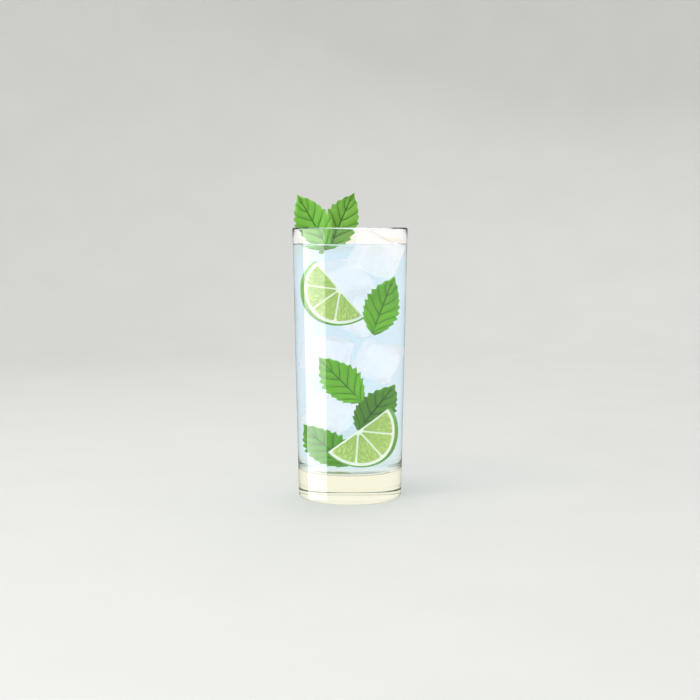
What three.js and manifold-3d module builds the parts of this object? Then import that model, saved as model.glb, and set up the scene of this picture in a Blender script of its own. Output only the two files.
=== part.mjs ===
// A mojito in a tall highball glass, at its real size in millimetres, +Z up.
// The origin is the middle of the foot, on the surface that the glass stands on.
// Four pieces: the glass, the drink up to its level, the ice cube that floats through the
// surface, and the sprig of mint that leans on the rim.

import * as THREE from "three";
import { mergeVertices } from "three/addons/utils/BufferGeometryUtils.js";
import Module from "manifold-3d";

const wasm = await Module();
wasm.setup();

// The glass: a straight taper with a thick base
const GLASS_HEIGHT = 153;
const RIM_RADIUS = 32.5;
const FOOT_RADIUS = 29.2;
const WALL = 2.2;
const BASE_THICKNESS = 16;
const HEEL_ROUNDING = 2;
const FLOOR_ROUNDING = 4;
const PUNT_RADIUS = 21; // the shallow hollow under the foot
const PUNT_DEPTH = 0.9;
const AROUND = 64; // facets round the glass and the drink

// The drink: level surface, drawn up a little where it wets the wall
const DRINK_LEVEL = 143.2;
const MENISCUS_RISE = 0.9;
const MENISCUS_REACH = 1.4;
const GAP = 0.3; // between pieces that touch

// The ice cube that shows above the surface
const ICE_SIZE = new THREE.Vector3(20.5, 20, 21.5);
const ICE_ROUNDING = 3.4;
const ICE_DIVISIONS = 8;
const ICE_CENTRE = new THREE.Vector3(12.8, -2.5, 137.8);
const ICE_TURN = new THREE.Euler(0.1, 0.35, 0.3);
const ICE_MELT = 0.5; // how far thawing has eaten the faces in and out

// The mint: two leaves from one node of a pinched-off shoot
const LEAF_THICKNESS = 0.6;
const LEAF_WIDTH_SHARE = 0.255; // half width over length, at the widest place
const LEAF_TEETH = 10; // on each side
const TOOTH_DEPTH = 1.1;
const TIP_SHARE = 0.13; // the last stretch of the blade, drawn in to a point
const LEAF_ACROSS = 10; // divisions from edge to edge
const VEIN_PAIRS = 6;
const VEIN_SWEEP = 1.5; // how far the side veins lean to the tip, in vein gaps
const QUILTING = 0.3; // how far the blade swells between its veins
const SHOOT_RADIUS = 1.1;
const PETIOLE_RADIUS = 0.75;
const SHOOT = [
  new THREE.Vector3(-12.1, -0.4, 141.4),
  new THREE.Vector3(-12.2, 0.1, 139.7),
  new THREE.Vector3(-12.3, 0.3, 138.5),
];
const LEAVES = [
  {
    base: new THREE.Vector3(-12.4, -1.4, 140.6),
    tip: new THREE.Vector3(-29.6, -6.0, 171.5),
    facing: new THREE.Vector3(-0.2, -1, 0.05),
    bow: -2.2,
    fold: 0.2,
    wave: 0.9,
  },
  {
    base: new THREE.Vector3(-11.6, 0.6, 140.4),
    tip: new THREE.Vector3(2.4, 5.2, 172.9),
    facing: new THREE.Vector3(0.3, -1, -0.05),
    bow: -1.8,
    fold: 0.16,
    wave: -0.8,
  },
];

const MATERIALS = {
  glass: new THREE.MeshStandardMaterial({
    color: 0xf8f6e7,
    roughness: 0.04,
    transparent: true,
    opacity: 0.35,
  }),
  drink: new THREE.MeshStandardMaterial({
    color: 0xd9edf4,
    roughness: 0.03,
    transparent: true,
    opacity: 0.6,
  }),
  ice: new THREE.MeshStandardMaterial({
    color: 0xe8f4f9,
    roughness: 0.12,
    transparent: true,
    opacity: 0.7,
  }),
  mint: new THREE.MeshStandardMaterial({ color: 0x5d9a38, roughness: 0.5 }),
};

// The taper of the outer wall: its radius at a height.
function outerRadius(z) {
  return FOOT_RADIUS + ((RIM_RADIUS - FOOT_RADIUS) * z) / GLASS_HEIGHT;
}

function innerRadius(z) {
  return outerRadius(z) - WALL;
}

// Points of a quarter or half round, from one angle to another in degrees.
function roundPoints(x, z, radius, from, to, steps) {
  const points = [];
  for (let i = 0; i <= steps; i += 1) {
    const angle = THREE.MathUtils.degToRad(from + ((to - from) * i) / steps);
    const across = radius * Math.cos(angle);
    const up = radius * Math.sin(angle);
    points.push(new THREE.Vector2(x + across, z + up));
  }
  return points;
}

// A profile of (radius, height) points turned round the Z axis.
function turned(profile) {
  const geometry = new THREE.LatheGeometry(profile, AROUND);
  return geometry.rotateX(Math.PI / 2);
}

function glassGeometry() {
  const lip = WALL / 2;
  const lipCentre = innerRadius(GLASS_HEIGHT) + lip;
  const heelCentre = outerRadius(HEEL_ROUNDING) - HEEL_ROUNDING;
  const floorHeight = BASE_THICKNESS + FLOOR_ROUNDING;
  const floorCentre = innerRadius(floorHeight) - FLOOR_ROUNDING;
  return turned([
    new THREE.Vector2(0, PUNT_DEPTH),
    new THREE.Vector2(PUNT_RADIUS - 2 * PUNT_DEPTH, PUNT_DEPTH),
    new THREE.Vector2(PUNT_RADIUS, 0),
    ...roundPoints(heelCentre, HEEL_ROUNDING, HEEL_ROUNDING, -90, 0, 4),
    new THREE.Vector2(outerRadius(GLASS_HEIGHT / 2), GLASS_HEIGHT / 2),
    ...roundPoints(lipCentre, GLASS_HEIGHT - lip, lip, 0, 180, 6),
    new THREE.Vector2(innerRadius(GLASS_HEIGHT / 2), GLASS_HEIGHT / 2),
    ...roundPoints(floorCentre, floorHeight, FLOOR_ROUNDING, 0, -90, 4),
    new THREE.Vector2(0, BASE_THICKNESS),
  ]);
}

// The drink fills the glass from floor to level, a gap's width clear of it.
function drinkGeometry() {
  const floorHeight = BASE_THICKNESS + FLOOR_ROUNDING;
  const floorCentre = innerRadius(floorHeight) - FLOOR_ROUNDING;
  const corner = FLOOR_ROUNDING - GAP;
  const wallRadius = innerRadius(DRINK_LEVEL) - GAP;
  const surface = [];
  for (const reach of [0, 0.4, 1, 2, 4]) {
    const rise = MENISCUS_RISE * Math.exp(-reach);
    const radius = wallRadius - reach * MENISCUS_REACH;
    surface.push(new THREE.Vector2(radius, DRINK_LEVEL + rise));
  }
  return turned([
    new THREE.Vector2(0, BASE_THICKNESS + GAP),
    ...roundPoints(floorCentre, floorHeight, corner, -90, 0, 4),
    ...surface,
    new THREE.Vector2(0, DRINK_LEVEL),
  ]);
}

// A block of ice with thawed corners; clearance makes it that much larger all round.
function iceGeometry(clearance) {
  const geometry = new THREE.BoxGeometry(
    2,
    2,
    2,
    ICE_DIVISIONS,
    ICE_DIVISIONS,
    ICE_DIVISIONS,
  );
  const radius = ICE_ROUNDING + clearance;
  const half = ICE_SIZE.clone().multiplyScalar(0.5).addScalar(clearance);
  const core = half.clone().subScalar(radius);
  const place = geometry.getAttribute("position");
  for (let i = 0; i < place.count; i += 1) {
    const unit = new THREE.Vector3().fromBufferAttribute(place, i);
    // The divisions are crowded towards the edges, where the rounding is.
    for (const axis of ["x", "y", "z"])
      unit[axis] = Math.sin((unit[axis] * Math.PI) / 2);
    const surface = unit.clone().multiply(half);
    const inner = surface.clone().clamp(core.clone().negate(), core);
    const outward = surface.clone().sub(inner).normalize();
    const thaw = Math.sin(3 * unit.x + 1) * Math.cos(2.6 * unit.y - 2 * unit.z);
    const point = inner.addScaledVector(outward, radius + ICE_MELT * thaw);
    place.setXYZ(i, point.x, point.y, point.z);
  }
  geometry.rotateX(ICE_TURN.x);
  geometry.rotateY(ICE_TURN.y);
  geometry.rotateZ(ICE_TURN.z);
  return geometry.translate(ICE_CENTRE.x, ICE_CENTRE.y, ICE_CENTRE.z);
}

// Half the blade's width over its length, along it from 0 at the base to 1 at the tip.
function bladeWidth(along) {
  const widest = 0.4375;
  const rise = Math.pow(along / widest, 0.9);
  const fall = Math.pow((1 - along) / (1 - widest), 1.1);
  const point = Math.pow(Math.min(1, (1 - along) / TIP_SHARE), 0.6);
  return LEAF_WIDTH_SHARE * rise * fall * point;
}

// The places along a leaf where its margin turns: each tooth's foot, middle and point.
function toothStations() {
  const stations = [];
  for (let tooth = 0; tooth < LEAF_TEETH; tooth += 1)
    for (const [share, reach] of [
      [0, 0],
      [0.45, 0.5],
      [0.85, 1],
    ])
      stations.push({ along: (tooth + share) / LEAF_TEETH, reach });
  stations.push({ along: 1, reach: 0 });
  return stations.map(({ along, reach }) => ({
    along: 0.02 + 0.97 * along,
    reach,
  }));
}

// One leaf as a thin wavy solid, the same triangles on both faces.
function leafGeometry({ base, tip, facing, bow, fold, wave }, clearance) {
  const length = tip.distanceTo(base);
  const lengthwise = tip.clone().sub(base).normalize();
  const crosswise = facing.clone().cross(lengthwise).normalize();
  const normal = lengthwise.clone().cross(crosswise);
  const stations = toothStations();
  const columns = LEAF_ACROSS + 1;
  const points = [];
  for (const side of [1, -1])
    for (const { along, reach } of stations)
      for (let j = 0; j < columns; j += 1) {
        const across = (2 * j) / LEAF_ACROSS - 1;
        const edge = Math.pow(Math.abs(across), 6);
        const tooth = TOOTH_DEPTH * reach * edge * Math.sin(Math.PI * along);
        const half = length * bladeWidth(along) + tooth;
        const sideways = across * (half + clearance);
        const share = THREE.MathUtils.clamp(sideways / half, -1, 1);
        const vein = VEIN_PAIRS * along - VEIN_SWEEP * Math.abs(share);
        const swell = Math.pow(Math.sin(Math.PI * vein), 2) * (1 - share ** 6);
        const ripple = wave * Math.sin(9 * along + 2 * share) * share ** 2;
        const lift =
          4 * bow * along * (1 - along) +
          fold * Math.abs(sideways) +
          QUILTING * swell +
          ripple +
          side * (LEAF_THICKNESS / 2 + clearance);
        points.push(
          base
            .clone()
            .addScaledVector(lengthwise, along * length)
            .addScaledVector(crosswise, sideways)
            .addScaledVector(normal, lift),
        );
      }
  const face = stations.length * columns;
  const index = [];
  const quad = (a, b, c, d) => index.push(a, b, c, a, c, d);
  for (let i = 0; i + 1 < stations.length; i += 1)
    for (let j = 0; j < LEAF_ACROSS; j += 1) {
      const a = i * columns + j;
      const b = a + 1;
      const c = b + columns;
      const d = a + columns;
      index.push(a, d, c, a, c, b);
      index.push(a + face, c + face, d + face, a + face, b + face, c + face);
    }
  const last = (stations.length - 1) * columns;
  for (let i = 0; i + 1 < stations.length; i += 1) {
    const low = i * columns;
    const high = low + LEAF_ACROSS;
    quad(low, low + face, low + columns + face, low + columns);
    quad(high, high + columns, high + columns + face, high + face);
  }
  for (let j = 0; j < LEAF_ACROSS; j += 1) {
    quad(j, j + 1, j + 1 + face, j + face);
    const end = last + j;
    quad(end, end + face, end + 1 + face, end + 1);
  }
  const geometry = new THREE.BufferGeometry().setFromPoints(points);
  geometry.setIndex(index);
  return geometry;
}

// A round stalk along a smooth curve through some points.
function stalkGeometry(points, radius) {
  const section = new THREE.Shape().absarc(0, 0, radius, 0, 2 * Math.PI);
  return new THREE.ExtrudeGeometry(section, {
    curveSegments: 5,
    steps: 8,
    extrudePath: new THREE.CatmullRomCurve3(points),
  });
}

// A closed geometry as a solid that can be joined and cut.
function solidOf(geometry) {
  const bare = new THREE.BufferGeometry();
  bare.setAttribute("position", geometry.getAttribute("position"));
  bare.setIndex(geometry.getIndex());
  const merged = mergeVertices(bare, 1e-4);
  return new wasm.Manifold(
    new wasm.Mesh({
      numProp: 3,
      vertProperties: new Float32Array(merged.getAttribute("position").array),
      triVerts: new Uint32Array(merged.getIndex().array),
    }),
  );
}

function geometryOf(solid) {
  const { vertProperties, triVerts } = solid.getMesh();
  const geometry = new THREE.BufferGeometry();
  const position = new THREE.BufferAttribute(vertProperties, 3);
  geometry.setAttribute("position", position);
  geometry.setIndex(new THREE.BufferAttribute(triVerts, 1));
  geometry.computeVertexNormals();
  return geometry;
}

// The leaves, their petioles and the shoot in one; clearance makes all of it larger.
function sprigSolid(clearance) {
  const [top, node, foot] = SHOOT;
  const up = top.clone().sub(node).setLength(clearance);
  const down = foot.clone().sub(node).setLength(clearance);
  const shoot = [top.clone().add(up), node, foot.clone().add(down)];
  let sprig = solidOf(stalkGeometry(shoot, SHOOT_RADIUS + clearance));
  for (const leaf of LEAVES) {
    const petiole = [SHOOT[1], leaf.base, leaf.base.clone().lerp(leaf.tip, 0.08)];
    const stalk = stalkGeometry(petiole, PETIOLE_RADIUS + clearance);
    sprig = sprig.add(solidOf(stalk));
    sprig = sprig.add(solidOf(leafGeometry(leaf, clearance)));
  }
  return sprig;
}

function piece(name, geometry, material) {
  const mesh = new THREE.Mesh(geometry, material);
  mesh.name = name;
  return mesh;
}

const drink = solidOf(drinkGeometry())
  .subtract(solidOf(iceGeometry(GAP)))
  .subtract(sprigSolid(GAP));

const mojito = new THREE.Group();
mojito.add(
  piece("glass", glassGeometry(), MATERIALS.glass),
  piece("drink", geometryOf(drink), MATERIALS.drink),
  piece("ice_cube_top", iceGeometry(0), MATERIALS.ice),
  piece("mint_sprig", geometryOf(sprigSolid(0)), MATERIALS.mint),
);

export default mojito;
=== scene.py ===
# %% [markdown]
# # A mojito in a highball glass
# This lesson dresses a plain model of an iced drink: a tall glass, the drink in it, six blocks
# of ice, two half slices of lime, four loose mint leaves and a sprig that stands over the rim.
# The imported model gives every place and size, so the first step loads it and measures it. From
# there on each piece is built round those measures, in metres, and nothing is fitted by hand
# afterwards.

# %% Load the frame
import math

import bmesh
import bpy
import numpy as np
from mathutils import Matrix, Vector, noise


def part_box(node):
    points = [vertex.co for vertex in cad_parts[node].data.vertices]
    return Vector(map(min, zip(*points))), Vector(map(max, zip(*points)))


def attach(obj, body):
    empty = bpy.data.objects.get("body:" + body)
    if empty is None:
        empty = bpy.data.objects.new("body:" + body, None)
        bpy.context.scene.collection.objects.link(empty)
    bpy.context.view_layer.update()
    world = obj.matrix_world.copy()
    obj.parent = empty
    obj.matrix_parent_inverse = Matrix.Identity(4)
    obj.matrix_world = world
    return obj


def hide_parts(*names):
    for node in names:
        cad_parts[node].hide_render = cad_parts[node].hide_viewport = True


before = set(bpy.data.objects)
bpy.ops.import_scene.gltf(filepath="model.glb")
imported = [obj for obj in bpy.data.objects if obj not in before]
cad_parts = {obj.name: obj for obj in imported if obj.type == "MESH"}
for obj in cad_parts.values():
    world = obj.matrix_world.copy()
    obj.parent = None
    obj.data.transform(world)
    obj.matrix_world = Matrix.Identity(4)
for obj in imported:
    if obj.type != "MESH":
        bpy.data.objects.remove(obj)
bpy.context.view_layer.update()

MM = 0.001
for node in sorted(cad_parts):
    low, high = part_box(node)
    print(node, "spans", [round(v / MM, 1) for v in high - low], "mm")

# %% [markdown]
# ## The camera
# The drink was seen from the height of its own rim, which is why the rim shows as one straight
# band while the foot shows as an ellipse. A camera at rim height, tipped down five degrees,
# gives both at once. It could be placed by eye and nudged, but the ellipse of the foot fixes the
# distance: 0.8 m. The lens follows from the width of the rim in the frame.

# %% Camera
EYE = Vector((0, -0.8, 0.153))
EYE_TIP = math.radians(4.95)
LENS = 72.7

eye_data = bpy.data.cameras.new("eye")
eye_data.lens = LENS
eye_data.sensor_width = 36
camera = bpy.data.objects.new("eye", eye_data)
camera.location = EYE
camera.rotation_euler = (math.pi / 2 - EYE_TIP, 0, 0)
bpy.context.scene.collection.objects.link(camera)
bpy.context.scene.camera = camera
print("camera", [round(v, 3) for v in EYE], "lens", LENS)

# %% [markdown]
# ## Writing node trees as sums
# A material or a Geometry Nodes tree is a graph, and graphs made call by call are hard to read.
# Each socket is therefore wrapped in a small class whose operators add Math nodes, so that a
# tooth or a vein can be written as the formula that it is. Every other kind of node comes from
# one function, which sets the node's own settings first and then links or fills its inputs.

# %% Wires and nodes
class Wire:
    """A node's output as a number that Python can reckon with."""

    def __init__(self, tree, node, output=0):
        self.tree = tree
        self.node = node
        self.socket = node.outputs[output]

    def out(self, output):
        return Wire(self.tree, self.node, output)

    def math(self, operation, *values):
        return add_node(self.tree, "ShaderNodeMath", {"operation": operation}, values)

    def __add__(self, other):
        return self.math("ADD", self, other)

    def __sub__(self, other):
        return self.math("SUBTRACT", self, other)

    def __rsub__(self, other):
        return self.math("SUBTRACT", other, self)

    def __mul__(self, other):
        return self.math("MULTIPLY", self, other)

    def __truediv__(self, other):
        return self.math("DIVIDE", self, other)

    def __pow__(self, other):
        return self.math("POWER", self, other)

    def __abs__(self):
        return self.math("ABSOLUTE", self)

    __radd__ = __add__
    __rmul__ = __mul__

    def at_least(self, other):
        return self.math("MAXIMUM", self, other)

    def at_most(self, other):
        return self.math("MINIMUM", self, other)

    def sine(self):
        return self.math("SINE", self)


def add_node(tree, kind, settings=None, values=(), output=0):
    """Any node: settings first, then its inputs by position or by name."""
    node = tree.nodes.new(kind)
    for name, value in (settings or {}).items():
        if name == "stops":
            ramp = node.color_ramp.elements
            for index, (place, colour) in enumerate(value):
                stop = ramp[index] if index < 2 else ramp.new(place)
                stop.position = place
                stop.color = (*colour, 1)
        else:
            setattr(node, name, value)
    pairs = values.items() if isinstance(values, dict) else enumerate(values)
    for key, value in pairs:
        if isinstance(value, Wire):
            tree.links.new(value.socket, node.inputs[key])
        else:
            node.inputs[key].default_value = value
    return Wire(tree, node, output)


def mix_colours(tree, share, first, second, blend="MIX"):
    settings = {"data_type": "RGBA", "blend_type": blend}
    values = {0: share, 6: first, 7: second}
    return add_node(tree, "ShaderNodeMix", settings, values, output=2)


def rgba(red, green, blue):
    """A colour measured on screen, 0 to 255, as the linear light that shaders use."""
    def linear(v):
        v = v / 255
        return v / 12.92 if v <= 0.04045 else ((v + 0.055) / 1.055) ** 2.4

    return (linear(red), linear(green), linear(blue), 1)


print("wires and nodes ready")

# %% [markdown]
# ## A bench for finishes
# Every finish here starts from one Principled shader. `finish` makes it, sets the values that
# are the same all over the piece on the shader's own sockets, and hands back the tree, so that
# each material only has to say what changes over its surface.

# %% Finishes
def finish(name, **steady):
    """A material with one Principled shader; steady values go straight on its sockets."""
    material = bpy.data.materials.new(name)
    material.use_nodes = True
    tree = material.node_tree
    shader = tree.nodes["Principled BSDF"]
    for key, value in steady.items():
        shader.inputs[key.replace("_", " ")].default_value = value
    return material, tree, shader


def drive(tree, shader, name, wire):
    tree.links.new(wire.socket, shader.inputs[name])


def relief(tree, shader, height, depth):
    """Fine relief: a Bump node, depth metres high where height is 1."""
    values = {"Height": height, "Distance": depth, "Strength": 1.0}
    drive(tree, shader, "Normal", add_node(tree, "ShaderNodeBump", None, values))


def object_place(tree):
    return add_node(tree, "ShaderNodeTexCoord").out("Object")


def speckle(tree, place, scale, detail=2.0, roughness=0.5):
    values = {"Vector": place, "Scale": scale, "Detail": detail, "Roughness": roughness}
    return add_node(tree, "ShaderNodeTexNoise", None, values)


def soak(material, colour, density):
    """Tints light by the length of its way through the piece."""
    tree = material.node_tree
    settings = {"Color": colour, "Density": density}
    volume = add_node(tree, "ShaderNodeVolumeAbsorption", None, settings)
    output = tree.nodes["Material Output"]
    tree.links.new(volume.socket, output.inputs["Volume"])


def pass_light(material, tint):
    """Lets the light that falls on what is inside straight through, as it can't bend."""
    tree = material.node_tree
    output = tree.nodes["Material Output"]
    surface = Wire(tree, output.inputs["Surface"].links[0].from_node)
    path = add_node(tree, "ShaderNodeLightPath")
    clear = add_node(tree, "ShaderNodeBsdfTransparent", None, {"Color": tint})
    for kind in ("Is Diffuse Ray", "Is Shadow Ray"):
        values = {0: path.out(kind), 1: surface, 2: clear}
        surface = add_node(tree, "ShaderNodeMixShader", None, values)
    tree.links.new(surface.socket, output.inputs["Surface"])


print("finishes ready")

# %% [markdown]
# ## Glass, drink and ice
# Three clear solids meet here, and what makes each one read is not its colour but how much it
# bends light: glass 1.5, water 1.333. Ice in water bends light hardly at all, and what shows of
# a real cube is its cloudy skin, so the ice mixes clear with a white that light comes through,
# by a slow noise. The faint tints are made by absorption inside the solids, because then a thick
# base and the long way through an edge are deeper in colour than the thin wall, as they are in
# real glass.

# %% Clear finishes
GLASS_TINT = (0.955, 0.945, 0.82, 1)
DRINK_TINT = (0.47, 0.78, 0.955, 1)


def glass_finish():
    material, tree, shader = finish(
        "clear_glass", Roughness=0.0, IOR=1.5, Transmission_Weight=1.0
    )
    shader.inputs["Base Color"].default_value = (1, 1, 1, 1)
    sway = speckle(tree, object_place(tree), 38.0, 1.0)
    relief(tree, shader, sway, 0.00006)
    soak(material, GLASS_TINT, 22.0)
    pass_light(material, (0.985, 0.985, 0.975, 1))
    return material


def drink_finish():
    material, tree, shader = finish(
        "cold_drink", Roughness=0.0, IOR=1.333, Transmission_Weight=1.0
    )
    shader.inputs["Base Color"].default_value = (1, 1, 1, 1)
    swirl = speckle(tree, object_place(tree), 60.0, 1.0)
    relief(tree, shader, swirl, 0.00003)
    soak(material, DRINK_TINT, 14.0)
    pass_light(material, (1, 1, 1, 1))
    return material


def ice_finish():
    material, tree, shader = finish(
        "wet_ice", Roughness=0.06, IOR=1.08, Transmission_Weight=1.0
    )
    shader.inputs["Base Color"].default_value = (1, 1, 1, 1)
    place = object_place(tree)
    cloud = speckle(tree, place, 95.0, 3.0)
    frost = ((cloud - 0.38) * 1.6).at_least(0.0).at_most(1.0)
    relief(tree, shader, speckle(tree, place, 420.0, 2.0), 0.00012)
    glow = {"Color": rgba(250, 252, 253)}
    white = add_node(tree, "ShaderNodeBsdfTranslucent", None, glow)
    share = 0.42 + 0.26 * frost
    values = {0: share, 1: Wire(tree, shader), 2: white}
    mixed = add_node(tree, "ShaderNodeMixShader", None, values)
    output = tree.nodes["Material Output"]
    tree.links.new(mixed.socket, output.inputs["Surface"])
    pass_light(material, (0.985, 0.99, 0.99, 1))
    return material


glass_material = glass_finish()
drink_material = drink_finish()
ice_material = ice_finish()
print("clear finishes:", glass_material.name, drink_material.name, ice_material.name)

# %% [markdown]
# ## Mint and lime finishes
# A mint leaf is never one green: its tone drifts in patches, the blade swells between its veins
# and is painted lighter on those swells, a painted highlight, the sunk veins are painted darker
# than the blade, a painted shade in their creases, and the margin is a little lighter. The leaf
# carries a UV map that runs along
# it and across it, so the veins are a formula on those two numbers, and they follow the leaf
# wherever it bends. A leaf in water hardly shines, as water bends light almost as much as the
# leaf does. Lime is painted by attributes that its mesh carries: how far a point is inside the
# pulp, in the white pith or in the green zest, and how high each juice sac stands, which paints
# the sac lighter on its crown and darker at its edges, a painted highlight and shade.

# %% Mint finish
VEIN_PAIRS = 6
VEIN_SWEEP = 1.5


def mint_finish(name, light, deep, vein, bend_index):
    material, tree, shader = finish(name, Roughness=0.5, IOR=bend_index)
    blade = add_node(tree, "ShaderNodeUVMap", {"uv_map": "blade"})
    parts = add_node(tree, "ShaderNodeSeparateXYZ", None, (blade,))
    along = parts
    across = abs(parts.out("Y") * 2.0 - 1.0)
    place = object_place(tree)
    sway = speckle(tree, place, 110.0, 2.0) - 0.5
    sweep = VEIN_PAIRS * along - VEIN_SWEEP * across + 0.35 * sway
    side_vein = abs((sweep * math.pi).sine())
    rib = (1.7 - side_vein * 6.5).at_least(0.0) * (1.25 - across).at_most(1.0)
    middle = (1.4 - across * 20.0).at_least(0.0)
    vein_dips_and_shade = rib.at_least(middle).at_most(1.0)
    mottle = speckle(tree, place, 260.0, 3.0)
    patch = speckle(tree, place, 70.0, 2.0)
    # Painted highlight: the side_vein term lightens the swells midway between the veins; mottle
    # and patch are random tone.
    shade = (0.25 * mottle + 0.55 * patch + 0.35 * side_vein).at_most(1.0)
    body = mix_colours(tree, shade, deep, light)
    margin = (across - 0.8).at_least(0.0) * 1.6
    body = mix_colours(tree, margin, body, light)
    # Painted shade: the sunk veins take the dark vein colour, standing for the shade in their
    # creases; the same mask also sinks them in the relief below.
    drive(tree, shader, "Base Color", mix_colours(tree, vein_dips_and_shade * 0.85, body, vein))
    drive(tree, shader, "Roughness", 0.42 + 0.25 * mottle)
    cells = speckle(tree, place, 900.0, 2.0)
    relief(tree, shader, cells + vein_dips_and_shade * -0.8, 0.00012)
    return material


WET_LEAF = 1.05
DRY_LEAF = 1.4
# Each set is light, deep and vein; here and in the sunk sets, the vein colour is the painted
# shade of the sunk veins.
BRIGHT = (rgba(122, 188, 68), rgba(94, 160, 48), rgba(52, 108, 28))
DEEP = (rgba(122, 180, 66), rgba(92, 150, 46), rgba(46, 98, 26))
mint_bright = mint_finish("mint_bright", *BRIGHT, DRY_LEAF)
mint_deep = mint_finish("mint_deep", *DEEP, DRY_LEAF)
SUNK_BRIGHT = (rgba(112, 188, 32), rgba(84, 158, 20), rgba(36, 92, 6))
SUNK_DEEP = (rgba(108, 174, 28), rgba(78, 144, 16), rgba(32, 82, 6))
sunk_bright = mint_finish("sunk_bright", *SUNK_BRIGHT, WET_LEAF)
sunk_deep = mint_finish("sunk_deep", *SUNK_DEEP, WET_LEAF)


def stem_finish():
    material, tree, shader = finish("mint_stem", Roughness=0.5)
    streak = speckle(tree, object_place(tree), 300.0, 2.0)
    colour = mix_colours(tree, streak, rgba(110, 158, 70), rgba(150, 190, 100))
    drive(tree, shader, "Base Color", colour)
    drive(tree, shader, "Roughness", 0.4 + 0.2 * streak)
    relief(tree, shader, streak, 0.0001)
    return material


stem_material = stem_finish()
print("mint finishes:", mint_bright.name, mint_deep.name, stem_material.name)

# %% Lime finish
def carried(tree, name):
    """A number that the mesh carries on its points."""
    return add_node(tree, "ShaderNodeAttribute", {"attribute_name": name}).out("Fac")


def lime_finish():
    material, tree, shader = finish("cut_lime", Roughness=0.3, IOR=1.1)
    place = object_place(tree)
    pulp = carried(tree, "pulp")
    zest = carried(tree, "zest")
    sac = carried(tree, "sac")
    grain = speckle(tree, place, 420.0, 2.0)
    # Painted highlight and shade: by its height, each juice sac's flesh is lighter on its crown
    # and darker at its edges.
    flesh_and_painted_light = mix_colours(tree, sac, rgba(156, 188, 80), rgba(198, 221, 130))
    flesh_and_painted_light = mix_colours(tree, grain * 0.4, flesh_and_painted_light, rgba(190, 216, 116))
    pith = mix_colours(tree, grain * 0.5, rgba(252, 251, 236), rgba(236, 240, 208))
    pores = add_node(
        tree, "ShaderNodeTexVoronoi", None, {"Vector": place, "Scale": 900.0}
    )
    pit = (1 - pores * 2.4).at_least(0.0)
    rind = mix_colours(tree, grain, rgba(98, 172, 44), rgba(130, 202, 70))
    rind = mix_colours(tree, pit * 0.6, rind, rgba(82, 150, 36))
    cut = mix_colours(tree, pulp, pith, flesh_and_painted_light)
    drive(tree, shader, "Base Color", mix_colours(tree, zest, cut, rind))
    drive(tree, shader, "Roughness", 0.38 - 0.16 * pulp)
    relief(tree, shader, grain * 0.4 - pit * zest, 0.00016)
    return material


lime_material = lime_finish()
print("lime finish:", lime_material.name)

# %% [markdown]
# ## Turning the glass
# A glass is a solid of revolution: one half section, turned. The section is written as corners
# and round stretches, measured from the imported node, and the mesh is made ring by ring. A screw
# modifier could turn it as well, but a loop keeps the poles closed and the faces facing out.

# %% The section of the glass
glass_low, glass_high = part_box("glass")
drink_low, drink_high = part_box("drink")
HEIGHT = glass_high.z
RIM_RADIUS = glass_high.x
FOOT_RADIUS = 29.2 * MM
WALL = 2.2 * MM
BASE = drink_low.z - 0.3 * MM
HEEL = 2 * MM
FLOOR_ROUND = 4 * MM
PUNT_RADIUS = 21 * MM
PUNT_DEPTH = 0.9 * MM
LEVEL = 143.2 * MM
AROUND = 192


def outer_radius(z):
    return FOOT_RADIUS + (RIM_RADIUS - FOOT_RADIUS) * z / HEIGHT


def inner_radius(z):
    return outer_radius(z) - WALL


def arc(x, z, radius, start, end, steps):
    """Points round a centre, from one angle to another in degrees."""
    angles = np.radians(np.linspace(start, end, steps + 1))
    return [(x + radius * math.cos(a), z + radius * math.sin(a)) for a in angles]


def wall_points(radius_at, low, high, steps):
    return [(radius_at(z), z) for z in np.linspace(low, high, steps + 2)[1:-1]]


def turned(name, section):
    """A closed mesh turned from (radius, height) points that start and end on the axis."""
    mesh = bpy.data.meshes.new(name)
    form = bmesh.new()
    rings = []
    for radius, z in section:
        if radius < 1e-7:
            rings.append([form.verts.new((0, 0, z))])
            continue
        ring = []
        for step in range(AROUND):
            turn = 2 * math.pi * step / AROUND
            x = radius * math.cos(turn)
            ring.append(form.verts.new((x, radius * math.sin(turn), z)))
        rings.append(ring)
    for lower, upper in zip(rings, rings[1:]):
        for step in range(AROUND):
            after = (step + 1) % AROUND
            corners = [lower[step % len(lower)], lower[after % len(lower)]]
            corners += [upper[after % len(upper)], upper[step % len(upper)]]
            form.faces.new(list(dict.fromkeys(corners)))
    bmesh.ops.recalc_face_normals(form, faces=form.faces)
    form.to_mesh(mesh)
    form.free()
    return mesh


lip = WALL / 2
floor_centre = inner_radius(BASE + FLOOR_ROUND) - FLOOR_ROUND
glass_section = [
    (0, PUNT_DEPTH),
    (PUNT_RADIUS * 0.5, PUNT_DEPTH * 0.96),
    (PUNT_RADIUS * 0.8, PUNT_DEPTH * 0.7),
    (PUNT_RADIUS * 0.94, PUNT_DEPTH * 0.28),
    (PUNT_RADIUS, 0),
    *arc(outer_radius(HEEL) - HEEL, HEEL, HEEL, -90, 0, 12),
    *wall_points(outer_radius, HEEL, HEIGHT - lip, 24),
    *arc(inner_radius(HEIGHT) + lip, HEIGHT - lip, lip, 0, 180, 16),
    *wall_points(inner_radius, HEIGHT - lip, BASE + FLOOR_ROUND, 24),
    *arc(floor_centre, BASE + FLOOR_ROUND, FLOOR_ROUND, 0, -90, 12),
    (floor_centre * 0.5, BASE),
    (0, BASE),
]
print("glass section of", len(glass_section), "points")

# %% [markdown]
# ## Pieces that ride
# Each finished piece goes through one function: it gets its material and the body that it moves
# with. A drink has one body, because nothing in it is hinged.

# %% Settle a piece
CREASE = math.radians(40)


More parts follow.
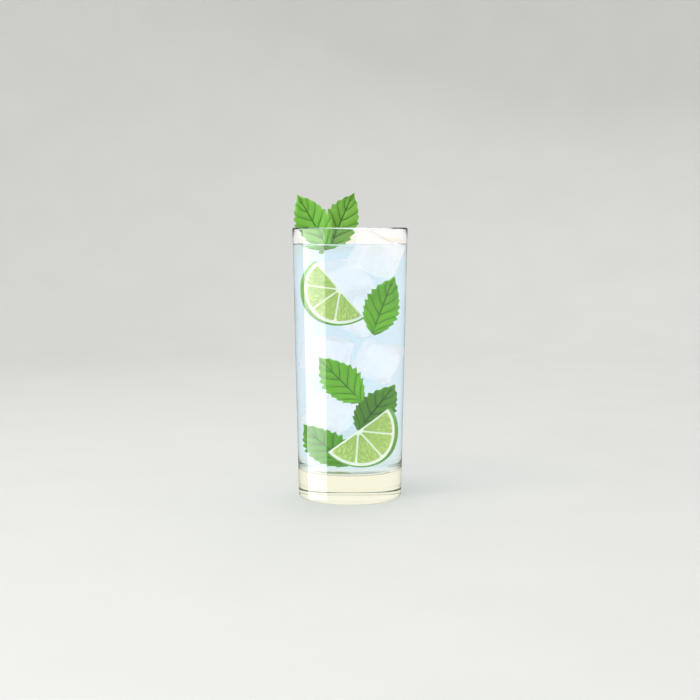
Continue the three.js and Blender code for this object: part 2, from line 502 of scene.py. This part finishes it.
def settle(name, mesh, material, replaced=None):
    piece = bpy.data.objects.new(name, mesh)
    bpy.context.scene.collection.objects.link(piece)
    mesh.materials.clear()
    mesh.materials.append(material)
    mesh.shade_smooth()
    mesh.set_sharp_from_angle(angle=CREASE)
    if replaced:
        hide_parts(replaced)
    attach(piece, "root")
    print(name, "has", sum(len(p.vertices) - 2 for p in mesh.polygons), "triangles")
    return piece


glass = settle("glass_body", turned("glass_body", glass_section), glass_material,
               "glass")

# %% [markdown]
# ## The drink
# The drink has to touch the glass without a film of air, or the render shows a silver skin
# between them. So its wall reaches a third of a millimetre into the glass. Its surface climbs
# the wall in a meniscus, whose height falls off with distance as a power of e.

# %% Drink
REACH_IN = 0.35 * MM
MENISCUS_RISE = 0.9 * MM
MENISCUS_REACH = 1.4 * MM


def drink_surface():
    """The top of the drink, from the wall inwards."""
    edge = inner_radius(LEVEL) + REACH_IN
    rises = [(edge, LEVEL + MENISCUS_RISE)]
    for reach in (0, 0.15, 0.3, 0.5, 0.8, 1.2, 1.8, 2.6, 4):
        radius = inner_radius(LEVEL) - reach * MENISCUS_REACH
        rises.append((radius, LEVEL + MENISCUS_RISE * math.exp(-reach)))
    return rises


drink_section = [
    (0, BASE - REACH_IN),
    (floor_centre * 0.5, BASE - REACH_IN),
    *arc(floor_centre, BASE + FLOOR_ROUND, FLOOR_ROUND + REACH_IN, -90, 0, 12),
    *wall_points(lambda z: inner_radius(z) + REACH_IN, BASE + FLOOR_ROUND, LEVEL, 24),
    *drink_surface(),
    (floor_centre * 0.5, LEVEL),
    (0, LEVEL),
]
drink = settle("drink_body", turned("drink_body", drink_section), drink_material,
               "drink")

# %% [markdown]
# ## Where a sunk thing really lies
# A full glass is a strong lens: what lies in the middle of it looks a third wider than it is,
# and what lies near the front wall hardly changes. To make a leaf show in a certain place, its
# true place is found by sending a ray from the eye through the two walls, bending it at each by
# Snell's law, and stopping at the depth wanted. `seen` is the place on the middle plane where
# the bare eye would put it.

# %% Through the wall
WATER = 1.333
GLASS_INDEX = 1.5


def bend(ray, normal, ratio):
    """Snell's law for a unit ray that meets a surface, ratio = index before over after."""
    straight = -ray.dot(normal)
    turn = ratio * straight - math.sqrt(1 - ratio**2 * (1 - straight**2))
    return (ratio * ray + turn * normal).normalized()


def reach_wall(point, ray, radius):
    """Where a ray first meets the upright cylinder of that radius."""
    a = ray.x**2 + ray.y**2
    b = point.x * ray.x + point.y * ray.y
    c = point.x**2 + point.y**2 - radius**2
    return point + ray * ((-b - math.sqrt(b * b - a * c)) / a)


def true_place(seen_x, seen_z, depth):
    """The place, at y = depth, of what shows at (seen_x, seen_z) on the middle plane."""
    target = Vector((seen_x, 0, seen_z)) * MM
    ray = (target - EYE).normalized()
    point = reach_wall(EYE, ray, outer_radius(target.z))
    normal = Vector((point.x, point.y, 0)).normalized()
    ray = bend(ray, normal, 1 / GLASS_INDEX)
    point = reach_wall(point, ray, inner_radius(target.z))
    normal = Vector((point.x, point.y, 0)).normalized()
    ray = bend(ray, normal, GLASS_INDEX / WATER)
    return point + ray * ((depth * MM - point.y) / ray.y)


for test in (0, 15, 25):
    print("seen at", test, "mm, lies at", round(true_place(test, 80, 0).x / MM, 1), "mm")

# %% [markdown]
# ## Ice
# A block from a tray has flat sides, thawed corners and shallow hollows where the drink has
# eaten into it. Each block starts as a finely divided cube whose points are drawn in to a
# rounded box and then pushed in and out by a slow noise, a different one for each block. The
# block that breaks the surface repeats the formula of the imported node, so that the two agree.

# %% Ice blocks
ICE_CUTS = 22
ICE_ROUND = 3.4
ICE_MELT = 0.5
TOP_ICE = {
    "size": (20.5, 20, 21.5),
    "turn": (0.1, 0.35, 0.3),
    "centre": (12.8, -2.5, 137.8),
}


def ice_mesh(name, size, turn, centre, seed):
    mesh = bpy.data.meshes.new(name)
    form = bmesh.new()
    bmesh.ops.create_cube(form, size=2)
    bmesh.ops.subdivide_edges(form, edges=form.edges, cuts=ICE_CUTS, use_grid_fill=True)
    half = Vector(size) / 2
    core = half - Vector((ICE_ROUND,) * 3)
    spin = Matrix.Rotation(turn[2], 3, "Z") @ Matrix.Rotation(turn[1], 3, "Y")
    spin = spin @ Matrix.Rotation(turn[0], 3, "X")
    drift = Vector((seed * 7.3, seed * 3.1, seed * 5.7))
    for vert in form.verts:
        unit = Vector([math.sin(v * math.pi / 2) for v in vert.co])
        surface = Vector([u * h for u, h in zip(unit, half)])
        inner = Vector([max(-c, min(c, s)) for s, c in zip(surface, core)])
        outward = (surface - inner).normalized()
        thaw = math.sin(3 * unit.x + 1 + seed) * math.cos(2.6 * unit.y - 2 * unit.z)
        dimple = 0.35 * noise.noise(surface * 0.16 + drift)
        reach = ICE_ROUND + ICE_MELT * thaw + dimple
        vert.co = (spin @ (inner + outward * reach) + Vector(centre)) * MM
    form.to_mesh(mesh)
    form.free()
    return mesh


settle("ice_top", ice_mesh("ice_top", seed=0, **TOP_ICE), ice_material, "ice_cube_top")

# %% Sunk ice
SUNK_ICE = {
    "ice_upper": {"seen": (-4.6, 124.2), "depth": 14, "turn": (0.2, -0.5, 0.4)},
    "ice_middle": {"seen": (9.0, 103.2), "depth": 8, "turn": (0.1, 0.7, -0.2)},
    "ice_left": {"seen": (-13.3, 80.8), "depth": 3, "turn": (-0.15, 0.28, 0.25)},
    "ice_right": {"seen": (16.0, 77.4), "depth": 0, "turn": (0.15, 0.42, 0.3)},
    "ice_low": {"seen": (-10.9, 48.2), "depth": 7, "turn": (0.1, 0.42, -0.3)},
}
SUNK_SIZE = (18, 17.5, 20.5)
for seed, (name, block) in enumerate(SUNK_ICE.items(), start=1):
    centre = true_place(*block["seen"], block["depth"]) / MM
    mesh = ice_mesh(name, SUNK_SIZE, block["turn"], centre, seed)
    settle(name, mesh, ice_material)

# %% [markdown]
# ## Mint leaves
# A leaf's shape follows a rule, so Geometry Nodes grow it: a flat grid, one unit long and one
# wide, is moved to the outline of a mint leaf, its margin is cut into teeth that point to the
# tip, and the blade swells between its veins. The same tree grows every leaf, with its own fold,
# bow and ripple, so no two are alike. The grid keeps its two coordinates as a UV map.

# %% Leaf tree
LEAF_STEPS = 181
LEAF_ACROSS = 49


def new_tree(name, numbers):
    """A Geometry Nodes tree with named number inputs; returns it and its input wires."""
    tree = bpy.data.node_groups.new(name, "GeometryNodeTree")
    face = tree.interface
    face.new_socket("Geometry", in_out="OUTPUT", socket_type="NodeSocketGeometry")
    face.new_socket("Geometry", in_out="INPUT", socket_type="NodeSocketGeometry")
    for label, value in numbers.items():
        kind = "NodeSocketInt" if isinstance(value, int) else "NodeSocketFloat"
        face.new_socket(label, in_out="INPUT", socket_type=kind).default_value = value
    given = add_node(tree, "NodeGroupInput")
    return tree, given


def close_tree(tree, geometry, material):
    """Every tree ends alike: instances made real, a material set."""
    real = add_node(tree, "GeometryNodeRealizeInstances", None, (geometry,))
    values = {"Geometry": real, "Material": material}
    done = add_node(tree, "GeometryNodeSetMaterial", None, values)
    end = tree.nodes.new("NodeGroupOutput")
    tree.links.new(done.socket, end.inputs[0])


def grow(name, tree, carrier=None, **numbers):
    """Runs a tree on a carrier mesh and returns the plain mesh that it makes."""
    base = carrier or bpy.data.meshes.new(name + "_seed")
    pot = bpy.data.objects.new(name + "_pot", base)
    bpy.context.scene.collection.objects.link(pot)
    growth = pot.modifiers.new("growth", "NODES")
    growth.node_group = tree
    for item in tree.interface.items_tree:
        if item.in_out == "INPUT" and item.name in numbers:
            growth[item.identifier] = numbers[item.name]
    bpy.context.view_layer.update()
    ready = pot.evaluated_get(bpy.context.evaluated_depsgraph_get())
    mesh = bpy.data.meshes.new_from_object(ready)
    mesh.name = name
    bpy.data.objects.remove(pot)
    return mesh


def fraction(wire):
    return wire.math("FRACT", wire)


def leaf_tree(material):
    numbers = {"Length": 36.0, "Width": 0.255, "Teeth": 10.0, "Tooth": 1.6,
               "Fold": 0.2, "Bow": -2.0, "Wave": 0.9, "Quilting": 0.45}
    tree, given = new_tree("mint_leaf", numbers)
    sizes = (1.0, 1.0, LEAF_STEPS, LEAF_ACROSS)
    grid = add_node(tree, "GeometryNodeMeshGrid", None, sizes)
    place = add_node(tree, "GeometryNodeInputPosition")
    parts = add_node(tree, "ShaderNodeSeparateXYZ", None, (place,))
    flat_along = parts + 0.5
    along = flat_along * 0.97 + 0.02
    across = parts.out("Y") * 2.0
    side = abs(across)
    uv = {"Geometry": grid, "Name": "blade", "Value": grid.out("UV Map")}
    settings = {"data_type": "FLOAT2", "domain": "CORNER"}
    mapped = add_node(tree, "GeometryNodeStoreNamedAttribute", settings, uv)

    rise = (along / 0.4375) ** 0.9
    fall = ((1 - along) / 0.5625).at_least(0.0) ** 1.1
    point = ((1 - along) / 0.13).at_least(0.0).at_most(1.0) ** 0.6
    outline = given.out("Width") * rise * fall * point
    count = given.out("Teeth") * flat_along
    step = fraction(count)
    reach = (step / 0.85).at_most((1 - step) / 0.15)
    uneven = 0.85 + 0.3 * ((count - step) * 7.3 + across * 2.0).sine()
    edge = side**6
    taper = (along * math.pi).sine().at_least(0.0) ** 0.6
    tooth = given.out("Tooth") * reach * edge * taper * uneven
    half = given.out("Length") * outline + tooth

    vein = abs(((VEIN_PAIRS * along - VEIN_SWEEP * side) * math.pi).sine())
    swell = given.out("Quilting") * vein**0.7 * (1 - edge)
    swell = swell * (side * 9.0).at_most(1.0)
    arch = 4.0 * given.out("Bow") * along * (1 - along)
    ripple = given.out("Wave") * (9.0 * along + 2.0 * across).sine() * side**2
    lift = arch + given.out("Fold") * side * half + swell + ripple
    spots = add_node(tree, "ShaderNodeTexNoise", None, {"Scale": 24.0, "Detail": 2.0})
    lift = lift + (spots - 0.5) * 0.5

    moved = (given.out("Length") * along, half * across, lift)
    spot = add_node(tree, "ShaderNodeCombineXYZ", None, moved)
    values = {"Geometry": mapped, "Position": spot}
    close_tree(tree, add_node(tree, "GeometryNodeSetPosition", None, values), material)
    return tree


mint_tree = leaf_tree(mint_bright)
print("leaf tree of", len(mint_tree.nodes), "nodes")

# %% [markdown]
# ## Placing a leaf
# The tree grows a leaf lying flat, base at the origin. It is turned to run from its base to its
# tip with its face towards a given side, thickened to a third of a millimetre, and its place is
# written into the mesh.

# %% Place leaves
BLADE = 0.35 * MM


def thicken(mesh, thickness):
    """Gives an open blade its thickness, with both faces alike."""
    bench = bpy.data.objects.new("bench", mesh)
    bpy.context.scene.collection.objects.link(bench)
    skin = bench.modifiers.new("skin", "SOLIDIFY")
    skin.thickness = thickness
    skin.offset = 0
    bpy.context.view_layer.update()
    ready = bench.evaluated_get(bpy.context.evaluated_depsgraph_get())
    made = bpy.data.meshes.new_from_object(ready)
    bpy.data.objects.remove(bench)
    return made


def leaf_mesh(name, base, tip, facing, **numbers):
    """A leaf from base to tip, in metres, its upper face towards facing."""
    span = tip - base
    lengthwise = span.normalized()
    crosswise = facing.cross(lengthwise).normalized()
    normal = lengthwise.cross(crosswise)
    flat = grow(name, mint_tree, Length=span.length / MM, **numbers)
    turn = Matrix((lengthwise, crosswise, normal)).transposed() * MM
    placing = turn.to_4x4()
    placing.translation = base
    flat.transform(placing)
    made = thicken(flat, BLADE)
    made.name = name
    return made


SPRIG_LEAVES = {
    "sprig_leaf_left": {
        "base": (-12.4, -1.4, 140.6), "tip": (-29.6, -6.0, 171.5),
        "facing": (-0.2, -1, 0.05), "Bow": -2.2, "Fold": 0.2, "Wave": 0.9,
    },
    "sprig_leaf_right": {
        "base": (-11.6, 0.6, 140.4), "tip": (2.4, 5.2, 172.9),
        "facing": (0.3, -1, -0.05), "Bow": -1.8, "Fold": 0.16, "Wave": -0.8,
    },
}
for name, leaf in SPRIG_LEAVES.items():
    ends = [Vector(leaf.pop(end)) * MM for end in ("base", "tip")]
    mesh = leaf_mesh(name, *ends, Vector(leaf.pop("facing")), **leaf)
    green = mint_bright if name.endswith("left") else mint_deep
    settle(name, mesh, green, "mint_sprig")

# %% Sprig stem
SHOOT = [(-12.1, -0.4, 141.4), (-12.2, 0.1, 139.7), (-12.3, 0.3, 138.5)]
SHOOT_RADIUS = 1.1 * MM


def stalk_mesh(name, runs):
    """Round stalks along smooth curves, each (points, radius), in one mesh."""
    line = bpy.data.curves.new(name, "CURVE")
    line.dimensions = "3D"
    line.bevel_depth = 1
    line.bevel_resolution = 4
    line.use_fill_caps = True
    for points, radius in runs:
        spline = line.splines.new("BEZIER")
        spline.bezier_points.add(len(points) - 1)
        for knot, point in zip(spline.bezier_points, points):
            knot.co = Vector(point) * MM
            knot.radius = radius
            knot.handle_left_type = knot.handle_right_type = "AUTO"
    bench = bpy.data.objects.new("bench", line)
    bpy.context.scene.collection.objects.link(bench)
    bpy.context.view_layer.update()
    ready = bench.evaluated_get(bpy.context.evaluated_depsgraph_get())
    made = bpy.data.meshes.new_from_object(ready)
    bpy.data.objects.remove(bench)
    made.name = name
    return made


stalks = [
    (SHOOT, SHOOT_RADIUS),
    ([SHOOT[1], (-12.4, -1.4, 140.6), (-13.7, -1.9, 143.1)], 0.7 * MM),
    ([SHOOT[1], (-11.6, 0.6, 140.4), (-10.5, 1.0, 143.0)], 0.7 * MM),
]
settle("sprig_stem", stalk_mesh("sprig_stem", stalks), stem_material, "mint_sprig")

# %% Sunk leaves
SUNK_TOOTH = 2.0
SUNK_LEAVES = {
    "leaf_right": {
        "base": (12.7, 92.0, -20.5), "tip": (25.1, 125.7, -10),
        "facing": (0.45, -1, 0.1), "Bow": -1.5, "Fold": 0.12, "Wave": 0.7,
    },
    "leaf_middle": {
        "base": (7.3, 53.7, -19), "tip": (-18.0, 79.7, -20),
        "facing": (-0.1, -1, 0.1), "Bow": -1.2, "Fold": 0.1, "Wave": -0.8,
    },
    "leaf_low_right": {
        "base": (4.5, 37.3, -1), "tip": (25.6, 64.3, -1),
        "facing": (0.3, -1, -0.1), "Bow": -1.6, "Fold": 0.16, "Wave": 0.6,
    },
    "leaf_low_left": {
        "base": (-0.1, 17.1, -1), "tip": (-26.6, 41.3, -6),
        "facing": (-0.35, -1, 0.0), "Bow": -1.5, "Fold": 0.14, "Wave": -0.6,
    },
}
for name, leaf in SUNK_LEAVES.items():
    ends = [true_place(*leaf.pop(end)) for end in ("base", "tip")]
    mesh = leaf_mesh(name, *ends, Vector(leaf.pop("facing")), Tooth=SUNK_TOOTH, **leaf)
    green = sunk_deep if name == "leaf_low_right" else sunk_bright
    settle(name, mesh, green)

# %% [markdown]
# ## Lime
# A half slice of lime is a half disc. Its cut face is a height field on rings and spokes: the
# pulp stands a little proud between thin membranes, each juice sac is a small dome drawn out
# towards the middle, and the pith is smooth. Building the sacs as real relief lets them catch
# the light, and the same numbers, kept on the points, tell the finish what is pulp and what is
# pith. The sac height also paints each sac lighter on its crown and darker at its edges, a
# painted highlight and shade on top of the real relief. The round side leans towards the eye,
# so that the rind shows under the cut face, and is
# drawn out by a few percent, because the drink makes things look wider than they are.

# %% Lime slices
LIME_RADIUS = 19.6
LIME_THICK = 7.4
LIME_LEAN = math.radians(11)
ZEST = 0.8
PITH = 1.5
SEGMENTS = 4
MEMBRANE = 0.42
RINGS = 96
SPOKES = 200
CHORD_PITH = 0.5
CORNER = 1.3
ROUNDING = 0.35
FACE_RADIUS = LIME_RADIUS - ROUNDING
PULP_RISE = 0.25
SAC_RISE = 0.35
HALF_THICK = LIME_THICK / 2 - 0.3
BELT = 8


def smooth_least(values, blend):
    """The least of several distances, with its corners rounded."""
    least = values[0]
    for value in values[1:]:
        share = max(0.0, min(1.0, 0.5 + 0.5 * (value - least) / blend))
        least = value + (least - value) * share - blend * share * (1 - share)
    return least


def lime_face(radius, angle, seed):
    """(pulp share, sac height) at a point of the cut face; lengths in millimetres."""
    width = math.pi / SEGMENTS
    index = min(int(angle / width), SEGMENTS - 1)
    left = radius * math.sin(angle - index * width)
    right = radius * math.sin((index + 1) * width - angle)
    chord = radius * math.sin(angle) - CHORD_PITH
    pulp_end = LIME_RADIUS - ZEST - PITH - radius
    inside = smooth_least([left - MEMBRANE, right - MEMBRANE, chord, pulp_end], CORNER)
    pulp = max(0.0, min(1.0, inside / 0.25 + 0.5))
    here = Vector((angle * 8.5, radius * 0.34 + 0.8 * math.sin(angle * 9), seed * 9.0))
    spread, _ = noise.voronoi(here)
    sac = max(0.0, min(1.0, (spread[1] - spread[0]) * 2.2))
    return pulp, sac


def quilt(form, rows):
    """Faces between neighbouring rows of points."""
    for lower, upper in zip(rows, rows[1:]):
        for step in range(len(lower) - 1):
            form.faces.new((lower[step], lower[step + 1], upper[step + 1], upper[step]))


def lime_mesh(name, chord_start, chord_end, arc_side, stretch, seed):
    """A half slice whose chord runs between two points, its round side towards arc_side."""
    middle = (chord_start + chord_end) / 2
    chordwise = (chord_end - chord_start).normalized()
    arcwise = (arc_side - arc_side.dot(chordwise) * chordwise).normalized()
    normal = chordwise.cross(arcwise)
    if normal.y > 0:
        normal = -normal
    lean = Matrix.Rotation(LIME_LEAN, 3, chordwise)
    if (lean @ arcwise).y > arcwise.y:
        lean = Matrix.Rotation(-LIME_LEAN, 3, chordwise)
    arcwise, normal = lean @ arcwise * stretch, lean @ normal
    mesh = bpy.data.meshes.new(name)
    form = bmesh.new()
    layers = {key: form.verts.layers.float.new(key) for key in ("pulp", "sac", "zest")}

    def add(radius, spoke, height, **marks):
        angle = math.pi * spoke / SPOKES
        flat = chordwise * math.cos(angle) * -radius + arcwise * math.sin(angle) * radius
        vert = form.verts.new(middle + (flat + normal * height) * MM)
        for key, value in marks.items():
            vert[layers[key]] = value
        return vert

    def cut_face(side):
        rows = []
        for ring in range(RINGS + 1):
            radius = FACE_RADIUS * ring / RINGS
            row = []
            for spoke in range(SPOKES + 1):
                pulp, sac = lime_face(radius, math.pi * spoke / SPOKES, seed + side)
                skin = max(0.0, min(1.0, (radius - LIME_RADIUS + ZEST) / 0.2))
                height = side * (HALF_THICK + pulp * (PULP_RISE + SAC_RISE * sac))
                row.append(add(radius, spoke, height, pulp=pulp, sac=sac, zest=skin))
            rows.append(row)
        return rows

    front, back = cut_face(1), cut_face(-1)
    turns = [math.pi * step / BELT for step in range(1, BELT)]
    belt = []
    for turn in turns:
        radius = FACE_RADIUS + ROUNDING * math.sin(turn)
        height = HALF_THICK * math.cos(turn)
        belt.append([add(radius, spoke, height, zest=1.0) for spoke in range(SPOKES + 1)])
    skin = [front[-1], *belt, back[-1]]
    halving = []
    for spoke, rings in ((SPOKES, range(RINGS, 0, -1)), (0, range(RINGS + 1))):
        for ring in rings:
            if ring == RINGS:
                halving.append([row[spoke] for row in skin])
                continue
            radius = FACE_RADIUS * ring / RINGS
            pulp = max(0.0, min(1.0, (LIME_RADIUS - ZEST - PITH - radius) / 0.3))
            inner = [add(radius, spoke, HALF_THICK * math.cos(turn), pulp=pulp, sac=0.5)
                     for turn in turns]
            halving.append([front[ring][spoke], *inner, back[ring][spoke]])
    for rows in (front, back, skin, halving):
        quilt(form, rows)
    bmesh.ops.remove_doubles(form, verts=form.verts, dist=1e-7)
    bmesh.ops.recalc_face_normals(form, faces=form.faces)
    print(name, "open edges:", sum(not edge.is_manifold for edge in form.edges))
    form.to_mesh(mesh)
    form.free()
    return mesh


LIMES = {
    "lime_upper": {"start": (-19.5, 133.2, -9.5), "end": (7.4, 102.6, -11),
                   "side": (-0.75, 0.03, -0.66), "stretch": 1.03},
    "lime_lower": {"start": (22.2, 50.0, -7.5), "end": (-12.7, 25.2, -10),
                   "side": (0.58, 0.05, -0.81), "stretch": 1.08},
}
for seed, (name, lime) in enumerate(LIMES.items(), start=1):
    ends = [true_place(*lime[end]) for end in ("start", "end")]
    mesh = lime_mesh(name, *ends, Vector(lime["side"]), lime["stretch"], seed)
    settle(name, mesh, lime_material)

# %% [markdown]
# ## The studio
# A plain pale floor curves up all round into a wall, so that the drink has the same quiet
# ground from every side. Clear things show what is behind them, so a cloth tent stands round the
# glass and shows only through clear things. Its colour changes with height: cream at the foot
# and above the level of the drink, white between. Light that the ice has scattered finds it a
# little warmer, which sets white ice off from the blue drink. Of the soft boxes, `band` draws
# the long upright reflection and `rim_line` the line of the rim. The rest light what is matt.

# %% Studio
COVE_RADIUS = 1.5
COVE_CURVE = 0.6
COVE_HEIGHT = 1.0
TENT_BRIGHTNESS = 1.05
ICE_LIGHT = (1.42, 1.12, 1.06, 1)


def cove():
    section = [(0, 0), (0.3, 0), (COVE_RADIUS - COVE_CURVE, 0)]
    section += arc(COVE_RADIUS - COVE_CURVE, COVE_CURVE, COVE_CURVE, -90, 0, 24)[1:]
    section += [(COVE_RADIUS, COVE_HEIGHT)]
    mesh = turned("cove", section)
    mesh.flip_normals()
    mesh.shade_smooth()
    material, tree, shader = finish("pale_floor", Specular_IOR_Level=0.0)
    grain = speckle(tree, object_place(tree), 14.0, 4.0)
    colour = mix_colours(tree, grain, rgba(196, 197, 194), rgba(202, 202, 199))
    drive(tree, shader, "Base Color", colour)
    mesh.materials.append(material)
    floor = bpy.data.objects.new("cove", mesh)
    bpy.context.scene.collection.objects.link(floor)
    return floor


EVERY_RAY = ("diffuse", "glossy", "transmission")


def soft_box(name, place, aim, size, brightness, colour=(1, 1, 1), lights=EVERY_RAY):
    """A rectangular lamp whose face is that bright; lights says which rays meet it."""
    lamp = bpy.data.lights.new(name, "AREA")
    lamp.shape = "RECTANGLE"
    lamp.size, lamp.size_y = size
    lamp.energy = brightness * math.pi * size[0] * size[1]
    lamp.color = colour
    box = bpy.data.objects.new(name, lamp)
    box.location = place
    towards = Vector(aim) - Vector(place)
    box.rotation_euler = towards.to_track_quat("-Z", "Y").to_euler()
    box.visible_camera = False
    for kind in EVERY_RAY:
        setattr(box, "visible_" + kind, kind in lights)
    bpy.context.scene.collection.objects.link(box)
    return box


def tent():
    """A bright funnel round the glass, which shows only through clear things."""
    section = [(0, 0.0002), (0.03, 0.0002), (0.042, 0.001), (0.12, 0.03), (0.45, 0.2),
               (0.6, 0.45), (0.6, 0.8)]
    mesh = turned("tent", section)
    mesh.shade_smooth()
    material, tree, shader = finish(
        "tent_cloth", Emission_Strength=TENT_BRIGHTNESS, Specular_IOR_Level=0.0
    )
    shader.inputs["Base Color"].default_value = (0, 0, 0, 1)
    parts = add_node(tree, "ShaderNodeSeparateXYZ", None, (object_place(tree),))
    stops = {"stops": ((0.0, (0.98, 0.97, 0.88)), (0.03, (1, 1, 1)), (0.137, (1, 1, 1)),
                       (0.141, (0.96, 0.93, 0.8)), (0.3, (0.93, 0.92, 0.82)),
                       (0.62, (0.5, 0.5, 0.5)))}
    rise = add_node(tree, "ShaderNodeValToRGB", stops, (parts.out("Z"),))
    scattered = add_node(tree, "ShaderNodeLightPath").out("Is Diffuse Ray")
    drive(tree, shader, "Emission Color", mix_colours(tree, scattered, rise, ICE_LIGHT))
    material.cycles.emission_sampling = "NONE"
    mesh.materials.append(material)
    cloth = bpy.data.objects.new("tent", mesh)
    bpy.context.scene.collection.objects.link(cloth)
    for kind in ("camera", "diffuse", "glossy", "shadow"):
        setattr(cloth, "visible_" + kind, False)


floor = cove()
floor.visible_glossy = False
tent()
GLOSS = ("glossy",)
MATT = ("diffuse",)
soft_box("band", (-0.637, -0.13, 0.08), (0, 0, 0.08), (0.676, 0.7), 5.2, lights=GLOSS)
soft_box("rim_line", (0, 0, 1.25), (0, 0, 0), (2.0, 2.0), 4.5, lights=GLOSS)
soft_box("left_box", (-0.9, -0.75, 0.9), (0, 0, 0.1), (0.9, 0.9), 3.4, lights=MATT)
soft_box("front_key", (-0.2, -1.0, 0.8), (0, 0, 0.08), (0.6, 0.6), 3.0, lights=MATT)
soft_box("overhead", (0, 0.1, 1.3), (0, 0, 0.1), (0.9, 0.9), 1.2, lights=MATT)
soft_box("back_fill", (0.4, 1.1, 0.8), (0, 0, 0.1), (0.9, 0.6), 1.6, lights=MATT)

world = bpy.data.worlds.new("room")
world.use_nodes = True
world.node_tree.nodes["Background"].inputs["Color"].default_value = (1, 1, 1, 1)
room_path = add_node(world.node_tree, "ShaderNodeLightPath")
room_light = 1.0 - 0.75 * room_path.out("Is Glossy Ray")
drive(world.node_tree, world.node_tree.nodes["Background"], "Strength", room_light)
bpy.context.scene.world = world
bpy.context.scene.view_settings.view_transform = "Standard"

# %% [markdown]
# ## How light is followed
# Clear things inside clear things need many bounces before a ray gets out again. Caustics stay
# off: `pass_light` already lets the lamps reach the leaves straight through the glass.

# %% Bounces
cycles = bpy.context.scene.cycles
cycles.max_bounces = 24
cycles.transmission_bounces = 24
cycles.transparent_max_bounces = 24
cycles.glossy_bounces = 8
cycles.diffuse_bounces = 4
cycles.caustics_reflective = False
cycles.caustics_refractive = False
print("bounces", cycles.max_bounces)
